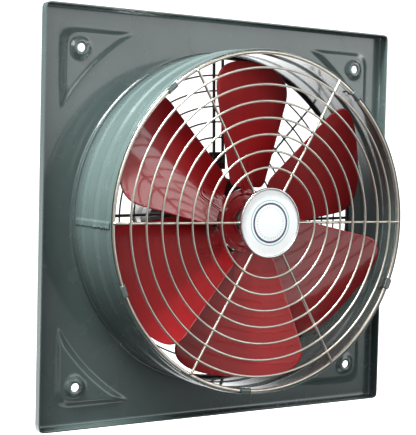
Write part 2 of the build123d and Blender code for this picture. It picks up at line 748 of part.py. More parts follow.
blade_angles = [90 + BLADE_TURN - 360 / BLADE_COUNT * blade for blade in range(BLADE_COUNT)]
for number, blade_angle in enumerate(blade_angles):
    save(blade_sheet(blade_angle), f"blade_{number + 1}")

spider_front = BLADE_Y - SPIDER_SHEET
with BuildPart() as spider:
    with BuildSketch(Plane.XY):
        Polygon(
            (17, BLADE_Y), (17, spider_front - 3), (18.6, spider_front - 3), (19.2, spider_front),
            (31, spider_front), (34, spider_front - 3), (SPIDER_RADIUS, spider_front - 1.5),
            (SPIDER_RADIUS, BLADE_Y + 1.5), (34, BLADE_Y + 1), (31, BLADE_Y), align=None,
        )
    revolve(axis=Axis.Y, revolution_arc=360)
    for blade_angle in blade_angles:
        arm_plane = blade_plane(blade_angle)
        with BuildSketch(arm_plane):
            with Locations(((ARM_START + ARM_END) / 2, 0)):
                RectangleRounded(ARM_END - ARM_START, ARM_WIDTH, 9)
        extrude(amount=SPIDER_SHEET)
        with BuildSketch(arm_plane.offset(SPIDER_SHEET)):
            with Locations((ARM_END - 22, 0)):
                RectangleRounded(38, ARM_WIDTH - 4, 7)
                RectangleRounded(34, ARM_WIDTH - 8, 5, mode=Mode.SUBTRACT)
        extrude(amount=1.2)
        with BuildSketch(arm_plane.offset(-20)):
            with Locations(*BLADE_RIVETS):
                Circle(RIVET_SHANK)
        extrude(amount=40, mode=Mode.SUBTRACT)
    with BuildSketch(front_plane(0)):
        with PolarLocations(HUB_RIVET_RADIUS, 6, start_angle=30 + BLADE_TURN):
            Circle(RIVET_SHANK)
    extrude(amount=90, mode=Mode.SUBTRACT)
save(spider.part, "spider")

with BuildPart() as blade_rivets:
    for blade_angle in blade_angles:
        rivet_plane = blade_plane(blade_angle)
        with BuildSketch(rivet_plane.offset(-BLADE_SHEET)):
            with Locations(*BLADE_RIVETS):
                Circle(RIVET_SHANK)
        extrude(amount=BLADE_SHEET + SPIDER_SHEET)
        for start in (SPIDER_SHEET, -BLADE_SHEET - 1.3):
            with BuildSketch(rivet_plane.offset(start)):
                with Locations(*BLADE_RIVETS):
                    Circle(RIVET_HEAD)
            extrude(amount=1.3)
save(blade_rivets.part, "blade_rivets")
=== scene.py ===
"""Wall-mounted axial exhaust fan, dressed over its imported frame.

Metres, +Z up, the fan's axis on Y. The wire guard and its badge look towards -Y.
The motor is behind, towards +Y.
"""

from __future__ import annotations

import logging
import math
from dataclasses import dataclass, field
from enum import Enum
from typing import Sequence

import bpy
import numpy as np
from mathutils import Matrix, Vector

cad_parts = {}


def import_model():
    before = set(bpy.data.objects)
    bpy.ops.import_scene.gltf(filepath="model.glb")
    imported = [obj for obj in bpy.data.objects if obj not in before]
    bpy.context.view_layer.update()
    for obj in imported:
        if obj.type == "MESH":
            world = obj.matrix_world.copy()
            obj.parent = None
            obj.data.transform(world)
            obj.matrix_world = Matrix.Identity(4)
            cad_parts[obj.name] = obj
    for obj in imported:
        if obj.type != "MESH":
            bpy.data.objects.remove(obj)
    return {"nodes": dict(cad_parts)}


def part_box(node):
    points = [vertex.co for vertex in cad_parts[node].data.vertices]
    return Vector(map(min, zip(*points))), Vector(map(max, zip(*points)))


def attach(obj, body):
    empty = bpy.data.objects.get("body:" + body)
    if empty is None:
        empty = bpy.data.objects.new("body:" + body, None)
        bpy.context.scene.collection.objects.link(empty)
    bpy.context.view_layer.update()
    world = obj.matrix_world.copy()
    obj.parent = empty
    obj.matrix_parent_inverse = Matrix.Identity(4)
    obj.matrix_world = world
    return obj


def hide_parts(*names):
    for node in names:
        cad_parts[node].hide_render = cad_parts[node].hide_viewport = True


LOG = logging.getLogger("exhaust_fan")
MM = 0.001
HOUSING = "housing"
IMPELLER = "impeller"
BARREL_RADIUS = 206.2 * MM
RING_PITCH = 19.65 * MM
# The wall face's place in the frame. Every y below is measured from that face.
WALL_SIDE = (0.0, 0.006, 0.0)

Array = np.ndarray
Colour = tuple[float, float, float]


def from_wall(node: str) -> tuple[Vector, Vector]:
    """A frame node's lowest and highest corner, with y measured from the plate's wall face, as every size
    here is.
    """
    low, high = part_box(node)
    return low - Vector(WALL_SIDE), high - Vector(WALL_SIDE)


def srgb(red: int, green: int, blue: int) -> Colour:
    """Turns a display colour from 0 to 255 into a linear one.

    Args:
        red: Red as shown on a screen.
        green: Green as shown on a screen.
        blue: Blue as shown on a screen.

    Returns:
        The colour as linear red, green and blue from 0 to 1.
    """
    shown = np.array((red, green, blue)) / 255.0
    linear = np.where(shown <= 0.04045, shown / 12.92, ((shown + 0.055) / 1.055) ** 2.4)
    return tuple(float(c) for c in linear)


def smoothstep(value: Array, low: float, high: float) -> Array:
    """Rises from 0 at low to 1 at high with no corner: t * t * (3 - 2 t), where t is the way from low to
    high.
    """
    t = np.clip((value - low) / (high - low), 0.0, 1.0)
    return t * t * (3.0 - 2.0 * t)


def soft_minimum(first: Array, second: Array, blend: float) -> Array:
    """The smaller of two values, rounded where they cross: the minimum less a parabola that is blend / 4
    deep.
    """
    near = np.clip(0.5 + 0.5 * (second - first) / blend, 0.0, 1.0)
    return second * (1.0 - near) + first * near - blend * near * (1.0 - near)


def soft_ramp(value: Array, radius: float) -> Array:
    """Zero below nought and the value above it, with a bend of about that radius: (v + sqrt(v * v + r * r))
    / 2.
    """
    return 0.5 * (value + np.sqrt(value * value + radius * radius)) - 0.5 * radius


# ---- surfaces


@dataclass
class Surface:
    """Points and faces worked out as whole arrays, waiting to become a mesh."""

    points: Array
    faces: list[Array] = field(default_factory=list)

    @staticmethod
    def grid(points: Array, wrap_rows: bool = False, wrap_columns: bool = False) -> Surface:
        """Joins a grid of points into quads.

        Args:
            points: The points, as rows by columns by 3.
            wrap_rows: Whether the last row meets the first.
            wrap_columns: Whether the last column meets the first.

        Returns:
            A surface with one quad for each cell. Point (i, j) has number i * columns + j.
        """
        rows, columns = points.shape[:2]
        i = np.arange(rows if wrap_rows else rows - 1)[:, None]
        j = np.arange(columns if wrap_columns else columns - 1)[None, :]
        below, right = (i + 1) % rows, (j + 1) % columns
        quads = np.stack(
            [i * columns + j, i * columns + right, below * columns + right, below * columns + j], axis=-1
        )
        return Surface(points.reshape(-1, 3), [quads.reshape(-1, 4)])

    @staticmethod
    def joined(surfaces: Sequence[Surface]) -> Surface:
        """Puts several surfaces into one, each face number raised by the points that come before it."""
        starts = np.cumsum([0] + [len(s.points) for s in surfaces[:-1]])
        faces = [f + start for s, start in zip(surfaces, starts) for f in s.faces]
        return Surface(np.concatenate([s.points for s in surfaces]), faces)

    def flipped(self) -> Surface:
        """The same surface with its faces turned to the other side."""
        return Surface(self.points, [f[:, ::-1] for f in self.faces])

    def turned_out(self) -> Surface:
        """The closed surface with its faces outwards.

        They are flipped if the volume they enclose, summed from each triangle's triple product, is negative.
        """
        volume = 0.0
        for group in self.faces:
            corner = self.points[group]
            for k in range(1, group.shape[1] - 1):
                volume += float(np.einsum("ij,ij->", corner[:, 0], np.cross(corner[:, k], corner[:, k + 1])))
        return self.flipped() if volume < 0.0 else self

    def capped(self, first: Array, last: Array) -> Surface:
        """Closes the two open ends of a tube with one flat face each.

        Args:
            first: The numbers of the points round the first end.
            last: The numbers of the points round the last end.

        Returns:
            The surface with the two faces added.
        """
        return Surface(self.points, self.faces + [first[None, ::-1], last[None, :]])

    def to_object(self, name: str, sharp: float = 40.0) -> bpy.types.Object:
        """Makes the mesh object, in metres, at the origin.

        Args:
            name: The piece's name.
            sharp: Edges bent by more than this angle, in degrees, are shaded sharp.

        Returns:
            The new object, linked to the scene.
        """
        mesh = bpy.data.meshes.new(name)
        faces = [face for group in self.faces for face in group.tolist()]
        mesh.from_pydata((self.points + np.array(WALL_SIDE)).tolist(), [], faces)
        mesh.validate()
        mesh.shade_smooth()
        mesh.set_sharp_from_angle(angle=math.radians(sharp))
        piece = bpy.data.objects.new(name, mesh)
        bpy.context.scene.collection.objects.link(piece)
        return piece


def revolved(profile: Array, segments: int) -> Surface:
    """Turns a closed profile once round the fan's axis.

    Args:
        profile: Pairs of radius and y, one row each.
        segments: How many columns go round.

    Returns:
        The surface through (radius * cos a, y, radius * sin a) for each angle a.
    """
    angle = np.linspace(0.0, 2.0 * np.pi, segments, endpoint=False)
    radius, y = profile[:, 0][:, None], profile[:, 1][:, None]
    points = np.stack(np.broadcast_arrays(radius * np.cos(angle), y, radius * np.sin(angle)), axis=-1)
    return Surface.grid(points, wrap_rows=True, wrap_columns=True).turned_out()


def tube(path: Array, radius: float | Array, across: Sequence[float], sides: int, closed: bool) -> Surface:
    """Carries a circle along a path.

    Args:
        path: The points of the centre line, one row each.
        radius: The circle's radius, or one radius for each point.
        across: A direction that is never along the path, which keeps the circles from twisting.
        sides: How many points each circle has.
        closed: Whether the path's end meets its start.

    Returns:
        The surface through path + radius * (cos a * side + sin a * over), with flat ends if it is open.
    """
    if closed:
        along = np.roll(path, -1, axis=0) - np.roll(path, 1, axis=0)
    else:
        along = np.gradient(path, axis=0)
    along /= np.linalg.norm(along, axis=1, keepdims=True)
    side = np.cross(along, np.asarray(across, float))
    side /= np.linalg.norm(side, axis=1, keepdims=True)
    over = np.cross(side, along)
    angle = np.linspace(0.0, 2.0 * np.pi, sides, endpoint=False)
    reach = np.broadcast_to(np.asarray(radius, float), (len(path),))[:, None, None]
    points = path[:, None, :] + reach * (
        np.cos(angle)[None, :, None] * side[:, None, :] + np.sin(angle)[None, :, None] * over[:, None, :]
    )
    surface = Surface.grid(points, wrap_rows=closed, wrap_columns=True)
    if closed:
        return surface.turned_out()
    ends = np.arange(sides)
    return surface.capped(ends, ends + (len(path) - 1) * sides).turned_out()


def ring_path(radius: float, y: float, segments: int) -> Array:
    """A circle round the axis, as points (radius * cos a, y, radius * sin a)."""
    angle = np.linspace(0.0, 2.0 * np.pi, segments, endpoint=False)
    return np.stack([radius * np.cos(angle), np.full(segments, y), radius * np.sin(angle)], axis=-1)


def outward(angle: float) -> Array:
    """The direction straight out from the axis at an angle in degrees, seen from the front."""
    a = math.radians(angle)
    return np.array((math.cos(a), 0.0, math.sin(a)))


def around(angle: float) -> Array:
    """The anticlockwise direction round the axis at an angle in degrees, seen from the front."""
    a = math.radians(angle)
    return np.array((-math.sin(a), 0.0, math.cos(a)))


def resampled(points: Array, step: float) -> Array:
    """Walks along a path of straight runs and gives points that are about one step apart.

    Args:
        points: The path's corners, one row each.
        step: The wanted distance between points.

    Returns:
        Evenly spaced points along the path.
    """
    run = np.concatenate([[0.0], np.cumsum(np.linalg.norm(np.diff(points, axis=0), axis=1))])
    wanted = np.linspace(0.0, run[-1], max(int(run[-1] / step), 2) + 1)
    return np.stack([np.interp(wanted, run, points[:, k]) for k in range(points.shape[1])], axis=-1)


# ---- shader maths


class Wire:
    """A shader socket that carries a number and can be used in Python expressions."""

    def __init__(self, graph: Graph, socket: bpy.types.NodeSocket) -> None:
        """Keeps the socket and the graph it belongs to."""
        self.graph = graph
        self.socket = socket

    def _math(self, operation: str, *values: Wire | float) -> Wire:
        """Adds one Math node on the given values."""
        return self.graph.node("ShaderNodeMath", {"operation": operation}, dict(enumerate(values)))

    def __add__(self, other: Wire | float) -> Wire:
        """Adds."""
        return self._math("ADD", self, other)

    __radd__ = __add__

    def __sub__(self, other: Wire | float) -> Wire:
        """Takes away."""
        return self._math("SUBTRACT", self, other)

    def __rsub__(self, other: Wire | float) -> Wire:
        """Takes this away from a value."""
        return self._math("SUBTRACT", other, self)

    def __mul__(self, other: Wire | float) -> Wire:
        """Multiplies."""
        return self._math("MULTIPLY", self, other)

    __rmul__ = __mul__

    def __pow__(self, other: Wire | float) -> Wire:
        """Raises to a power."""
        return self._math("POWER", self, other)

    def __abs__(self) -> Wire:
        """Drops the sign."""
        return self._math("ABSOLUTE", self)

    def fraction(self) -> Wire:
        """What is left after the whole number."""
        return self._math("FRACT", self)

    def most(self, other: Wire | float) -> Wire:
        """The larger of two values."""
        return self._math("MAXIMUM", self, other)

    def step(self, low: float, high: float) -> Wire:
        """Rises smoothly from 0 at low to 1 at high."""
        settings = {"interpolation_type": "SMOOTHSTEP", "clamp": True}
        return self.graph.node("ShaderNodeMapRange", settings, {0: self, 1: low, 2: high, 3: 0.0, 4: 1.0})


class Graph:
    """The node tree of one material or of the studio's air, with its main shader."""

    def __init__(self, owner: bpy.types.Material | bpy.types.World, shader: str, place: str) -> None:
        """Turns the owner's nodes on and finds its shader.

        Args:
            owner: The material or the world.
            shader: The name of its shader node.
            place: The coordinate that patterns are laid out on.
        """
        owner.use_nodes = True
        self.owner = owner
        self.tree = owner.node_tree
        self.shader = self.tree.nodes[shader]
        self.place = self.node("ShaderNodeTexCoord", {}, {}, place)

    @classmethod
    def of_material(cls, name: str) -> Graph:
        """A new material's graph, laid out on the piece's own coordinates."""
        return cls(bpy.data.materials.new(name), "Principled BSDF", "Object")

    def node(
        self,
        kind: str,
        settings: dict[str, object],
        inputs: dict[int | str, object],
        output: int | str = 0,
    ) -> Wire:
        """Adds one node.

        Args:
            kind: The node's type.
            settings: Attributes set first, such as a Math node's operation.
            inputs: Socket names or numbers with the values or wires they take.
            output: The output socket that is returned.

        Returns:
            The chosen output as a wire.
        """
        made = self.tree.nodes.new(kind)
        for key, value in settings.items():
            setattr(made, key, value)
        for key, value in inputs.items():
            self.feed(made.inputs[key], value)
        return Wire(self, made.outputs[output])

    def feed(self, socket: bpy.types.NodeSocket, value: object) -> None:
        """Links a wire to a socket, or sets the socket's own value."""
        if isinstance(value, Wire):
            self.tree.links.new(value.socket, socket)
        else:
            socket.default_value = value

    def set(self, **values: object) -> None:
        """Feeds the shader's sockets, named with underscores for spaces."""
        for key, value in values.items():
            self.feed(self.shader.inputs[key.replace("_", " ")], value)

    def axis(self, letter: str) -> Wire:
        """One coordinate of the place on the piece, in metres."""
        return self.node("ShaderNodeSeparateXYZ", {}, {0: self.place}, letter)

    def stretched(self, scale: Sequence[float]) -> Wire:
        """The place on the piece with each axis scaled, for patterns that run one way."""
        return self.node("ShaderNodeMapping", {}, {"Vector": self.place, "Scale": tuple(scale)})

    def noise(self, scale: float, detail: float = 2.0, rough: float = 0.5, at: Wire | None = None) -> Wire:
        """Cloudy noise from 0 to 1, with that many cells to the metre."""
        inputs = {"Vector": at or self.place, "Scale": scale, "Detail": detail, "Roughness": rough}
        return self.node("ShaderNodeTexNoise", {}, inputs)

    def cells(self, scale: float, at: Wire | None = None) -> Wire:
        """The distance to the nearest of scattered points."""
        return self.node("ShaderNodeTexVoronoi", {}, {"Vector": at or self.place, "Scale": scale}, "Distance")

    def mix(self, factor: Wire | float, first: object, second: object) -> Wire:
        """Mixes two colours."""
        pair = [(*c, 1.0) if isinstance(c, tuple) else c for c in (first, second)]
        return self.node("ShaderNodeMix", {"data_type": "RGBA"}, {0: factor, 6: pair[0], 7: pair[1]}, 2)

    def bump(self, height: Wire, depth: float, strength: float = 1.0) -> None:
        """Feeds a height into the shader's normal, in metres."""
        made = {"Height": height, "Distance": depth, "Strength": strength}
        self.set(Normal=self.node("ShaderNodeBump", {}, made))


# ---- finishes


@dataclass(frozen=True)
class Enamel:
    """Sprayed gloss enamel: slow colour drift, orange peel, dust nibs and rubbed patches."""

    name: str
    colour: Colour
    shade: Colour
    dust: Colour
    roughness: float = 0.28
    coat: float = 0.6
    peel: float = 420.0
    peel_depth: float = 0.00002

    def material(self) -> bpy.types.Material:
        """Builds the node tree and returns the material."""
        g = Graph.of_material(self.name)
        drift = g.noise(7.0, 4.0, 0.55).step(0.3, 0.72)
        rubbed = g.noise(46.0, 6.0, 0.65).step(0.56, 0.78)
        nibs = 1.0 - g.cells(240.0).step(0.03, 0.09)
        sparse = g.noise(60.0, 1.0).step(0.6, 0.66)
        colour = g.mix(drift, self.colour, self.shade)
        colour = g.mix(rubbed * 0.16, colour, self.dust)
        g.set(Base_Color=g.mix(nibs * sparse * 0.35, colour, self.dust))
        g.set(Roughness=self.roughness + 0.10 * rubbed + 0.05 * drift)
        g.set(Coat_Weight=self.coat - 0.25 * rubbed)
        g.set(Coat_Roughness=0.06)
        waves = g.noise(self.peel, 2.0, 0.45) + 0.5 * nibs * sparse
        g.bump(waves, self.peel_depth)
        return g.owner


@dataclass(frozen=True)
class PlatedMetal:
    """Bright plating on wire or stampings, with drawn lines, haze and small dull spots."""

    name: str
    colour: Colour
    haze: Colour
    roughness: float = 0.2
    spots: float = 0.3
    lines: tuple[float, float, float] = (300.0, 300.0, 300.0)

    def material(self) -> bpy.types.Material:
        """Builds the node tree and returns the material."""
        g = Graph.of_material(self.name)
        cloud = g.noise(85.0, 5.0, 0.6).step(0.35, 0.75)
        drawn = g.noise(1.0, 3.0, 0.6, g.stretched(self.lines))
        dull = 1.0 - g.cells(320.0).step(0.05, 0.22)
        few = g.noise(110.0, 1.0).step(0.55, 0.62)
        g.set(Base_Color=g.mix(cloud * 0.5 + dull * few * self.spots, self.colour, self.haze))
        g.set(Metallic=1.0 - 0.12 * dull * few)
        g.set(Roughness=self.roughness + 0.14 * cloud + 0.1 * drawn + 0.2 * dull * few)
        g.bump(drawn, 0.00001, 0.6)
        return g.owner


@dataclass(frozen=True)
class Moulded:
    """Moulded plastic or rubber with a fine spark-eroded grain."""

    name: str
    colour: Colour
    bloom: Colour
    roughness: float = 0.5
    grain: float = 1400.0
    grain_depth: float = 0.00003

    def material(self) -> bpy.types.Material:
        """Builds the node tree and returns the material."""
        g = Graph.of_material(self.name)
        patch = g.noise(40.0, 4.0, 0.6).step(0.4, 0.75)
        grain = g.noise(self.grain, 3.0, 0.6)
        g.set(Base_Color=g.mix(patch * 0.35, self.colour, self.bloom))
        g.set(Roughness=self.roughness + 0.16 * patch + 0.06 * grain)
        g.bump(grain, self.grain_depth)
        return g.owner


@dataclass(frozen=True)
class PrintedFace:
    """The badge's white face: gloss print with two plain rings and a dial of short strokes."""

    name: str
    white: Colour
    ink: Colour
    tint: Colour
    ring: float
    strokes: int = 36

    def material(self) -> bpy.types.Material:
        """Builds the node tree and returns the material."""
        g = Graph.of_material(self.name)
        x, z = g.axis("X"), g.axis("Z")
        reach = (x * x + z * z) ** 0.5
        turn = g.node("ShaderNodeMath", {"operation": "ARCTAN2"}, {0: z, 1: x})
        band = 1.0 - abs(reach - self.ring).step(0.0010, 0.0014)
        thin = 1.0 - abs(reach - self.ring * 1.17).step(0.0004, 0.0007)
        beat = (turn * (self.strokes / (2.0 * math.pi))).fraction()
        tick = 1.0 - abs(beat - 0.5).step(0.10, 0.16)
        stroke = tick * (1.0 - abs(reach - self.ring * 0.8).step(0.0011, 0.0014))
        cast = g.noise(55.0, 3.0).step(0.4, 0.8)
        colour = g.mix(cast * 0.06, self.white, self.tint)
        colour = g.mix(thin.most(stroke * 0.75), colour, self.tint)
        g.set(Base_Color=g.mix(band, colour, self.ink))
        g.set(Roughness=0.24 + 0.1 * cast, Coat_Weight=0.4 - 0.1 * cast)
        g.bump(g.noise(600.0, 2.0), 0.00001)
        return g.owner


class Finish(Enum):
    """Every finish on the fan."""

    HOUSING = Enamel("grey_green_enamel", srgb(73, 87, 85), srgb(63, 76, 75), srgb(112, 122, 118), 0.24, 0.8)
    IMPELLER = Enamel(
        "red_enamel", srgb(172, 24, 29), srgb(146, 18, 24), srgb(184, 58, 58), 0.28, 0.7, 300.0, 0.00003
    )
    REAR = Enamel("black_enamel", srgb(30, 31, 33), srgb(22, 23, 25), srgb(66, 66, 66), 0.34, 0.4)
    MOTOR = Enamel(
        "motor_enamel", srgb(36, 37, 39), srgb(26, 27, 29), srgb(72, 72, 70), 0.45, 0.2, 260.0, 0.00006
    )
    WIRE = PlatedMetal("nickel_wire", srgb(208, 204, 192), srgb(168, 164, 152), 0.24, 0.3)
    BEZEL = PlatedMetal("bezel_chrome", srgb(205, 207, 206), srgb(160, 162, 160), 0.14, 0.2)
    ZINC = PlatedMetal("zinc_plate", srgb(205, 206, 200), srgb(168, 168, 160), 0.3, 0.5)
    STEEL = PlatedMetal(
        "ground_steel", srgb(190, 192, 194), srgb(150, 152, 152), 0.22, 0.2, (40.0, 2600.0, 40.0)
    )
    LAMINATIONS = PlatedMetal(
        "core_laminations", srgb(120, 122, 124), srgb(84, 84, 84), 0.45, 0.5, (20.0, 2000.0, 20.0)
    )
    CAST_ALUMINIUM = PlatedMetal("cast_aluminium", srgb(190, 192, 194), srgb(150, 152, 152), 0.42, 0.4)
    IRON = PlatedMetal("hub_iron", srgb(92, 84, 80), srgb(58, 52, 50), 0.48, 0.6)
    COPPER = Moulded("varnished_copper", srgb(140, 74, 36), srgb(96, 46, 22), 0.3, 700.0, 0.0001)
    RUBBER = Moulded("bush_rubber", srgb(28, 28, 28), srgb(52, 52, 50), 0.7)
    PLASTIC = Moulded("black_plastic", srgb(26, 27, 29), srgb(44, 45, 46), 0.46)
    FACE = PrintedFace("printed_face", srgb(247, 249, 249), srgb(24, 36, 84), srgb(120, 190, 190), 23.0 * MM)

    def dress(self, *pieces: bpy.types.Object) -> None:
        """Gives the pieces this finish, in place of any they have."""
        material = bpy.data.materials.get(self.value.name) or self.value.material()
        for piece in pieces:
            piece.data.materials.clear()
            piece.data.materials.append(material)


def placed(piece: bpy.types.Object, body: str, slot: str, finish: Finish, *nodes: str) -> None:
    """Dresses a finished piece and ties it to the frame.

    Args:
        piece: The piece.
        body: The CAD body that it moves with.
        slot: The material slot in the record. Not used.
        finish: What it is finished in.
        nodes: The CAD nodes that it stands for.
    """
    finish.dress(piece)
    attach(piece, body)
    if nodes:
        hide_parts(*nodes)
    LOG.info("made %s with %d faces on %s", piece.name, len(piece.data.polygons), body)


def baked(piece: bpy.types.Object) -> None:
    """Applies a piece's modifiers, so that its mesh is final."""
    graph = bpy.context.evaluated_depsgraph_get()
    finished = bpy.data.meshes.new_from_object(piece.evaluated_get(graph))
    piece.modifiers.clear()
    piece.data = finished


# ---- mounting plate


@dataclass
class MountingPlate:
    """The square plate: a flanged sheet with four pressed corner pads, hole bosses and a drawn collar."""

    half_side: float
    flange: float
    barrel_radius: float
    sheet: float = 1.5 * MM
    corner: float = 5.0 * MM
    bend: float = 5.0 * MM
    pad_reach: float = 224.5 * MM
    pad_arc: float = 257.0 * MM
    pad_height: float = 3.0 * MM
    boss_at: float = 201.0 * MM
    boss_base: float = 13.8 * MM
    boss_height: float = 3.0 * MM
    hole: float = 5.0 * MM
    collar: float = 9.4 * MM
    collar_bend: float = 2.0 * MM

    @classmethod
    def from_frame(cls) -> MountingPlate:
        """Reads the plate's sizes from the frame."""
        low, high = from_wall("mounting_plate")
        return cls(high.x, high.y - low.y, BARREL_RADIUS)

    def relief(self, x: Array, z: Array) -> Array:
        """How far the sheet is pressed forwards at a place.

        The pad is inside two straight edges and outside an arc round the axis. The distance inside it,
        with its corners rounded, is turned into a slope by a smoothstep. The boss adds a second slope.

        Args:
            x: Distance along X, in metres.
            z: Distance along Z, in metres.

        Returns:
            The height, in metres.
        """
        a, b = np.abs(x), np.abs(z)
        inside = soft_minimum(self.pad_reach - a, self.pad_reach - b, 18.0 * MM)
        inside = soft_minimum(inside, np.hypot(a, b) - self.pad_arc, 7.0 * MM)
        pad = self.pad_height * smoothstep(inside, -1.0 * MM, 6.5 * MM)
        off_hole = np.hypot(a - self.boss_at, b - self.boss_at)
        boss = self.boss_height * (1.0 - smoothstep(off_hole, self.boss_base - 5.0 * MM, self.boss_base))
        dish = 0.8 * MM * (1.0 - smoothstep(off_hole, self.hole, self.hole + 2.2 * MM))
        return pad + boss - dish

    def columns(self) -> Array:
        """Angles round the plate, close together over the corner pads and wide apart between them."""
        fine = np.linspace(-17.0, 17.0, 60, endpoint=False)
        coarse = np.linspace(17.0, 73.0, 34, endpoint=False)
        quarter = np.concatenate([fine, coarse]) + 45.0
        return np.radians((quarter[None, :] + 90.0 * np.arange(4)[:, None]).ravel())

    def edge(self, angle: Array, half: float, corner: float) -> Array:
        """The distance from the axis to a rounded square's edge, found where a p-norm of the direction is
        half.
        """
        power = 3.0 * half / corner
        c, s = np.abs(np.cos(angle)), np.abs(np.sin(angle))
        return half / (c**power + s**power) ** (1.0 / power)

    def sheet_surface(self) -> Surface:
        """The sheet's front: the collar, the flat part with its relief, the bend and the flange, one row
        each.
        """
        angle = self.columns()
        inner = self.barrel_radius + self.sheet
        collar_y = np.linspace(-self.collar, -self.sheet - self.collar_bend, 5)
        share = np.concatenate([
            np.linspace(0.0, 0.3, 9, endpoint=False),
            np.linspace(0.3, 0.72, 40, endpoint=False),
            np.linspace(0.72, 1.0, 10),
        ])
        flat_edge = self.edge(angle, self.half_side - self.bend, self.corner)
        root = inner + self.collar_bend
        rows: list[tuple[Array | float, Array | float]] = [(inner, y) for y in collar_y]
        for turn in np.linspace(0.25, 0.75, 3) * np.pi / 2:
            radius = root - self.collar_bend * math.cos(turn)
            rows.append((radius, -self.sheet - self.collar_bend * (1 - math.sin(turn))))
        for s in share:
            radius = root + s * (flat_edge - root)
            relief = self.relief(radius * np.cos(angle), radius * np.sin(angle))
            rows.append((radius, -self.sheet - relief))
        outer = self.edge(angle, self.half_side - self.sheet, self.corner)
        inner_bend = self.bend - self.sheet
        for turn in np.linspace(0.0, 1.0, 7)[1:] * np.pi / 2:
            radius = flat_edge + (outer - flat_edge) * math.sin(turn)
            rows.append((radius, -self.sheet - inner_bend * (1 - math.cos(turn))))
        rows += [(outer, y) for y in np.linspace(-self.bend - 1.5 * MM, -self.flange, 5)]
        radius, y = (np.stack([np.broadcast_to(v, angle.shape) for v in part]) for part in zip(*rows))
        points = np.stack([radius * np.cos(angle), y, radius * np.sin(angle)], axis=-1)
        return Surface.grid(points, wrap_columns=True).flipped()

    def cutter(self) -> bpy.types.Object:
        """Four plain cylinders, one through each bolt hole."""
        holes = []
        for side_x in (-1.0, 1.0):
            for side_z in (-1.0, 1.0):
                centre = np.array((side_x * self.boss_at, 0.0, side_z * self.boss_at))
                path = centre + np.array(((0.0, -0.03, 0.0), (0.0, 0.02, 0.0)))
                holes.append(tube(path, self.hole, (1.0, 0.0, 0.0), 40, closed=False))
        return Surface.joined(holes).to_object("hole_cutter")

    def build(self) -> None:
        """Makes the plate."""
        piece = self.sheet_surface().to_object("plate_sheet", 50.0)
        wall = piece.modifiers.new("wall", "SOLIDIFY")
        wall.thickness = self.sheet
        wall.offset = -1.0
        baked(piece)
        cutter = self.cutter()
        cut = piece.modifiers.new("holes", "BOOLEAN")
        cut.operation, cut.object, cut.solver = "DIFFERENCE", cutter, "EXACT"
        baked(piece)
        bpy.data.objects.remove(cutter)
        piece.data.set_sharp_from_angle(angle=math.radians(40.0))
        placed(piece, HOUSING, "housing_paint", Finish.HOUSING, "mounting_plate")


# ---- barrel


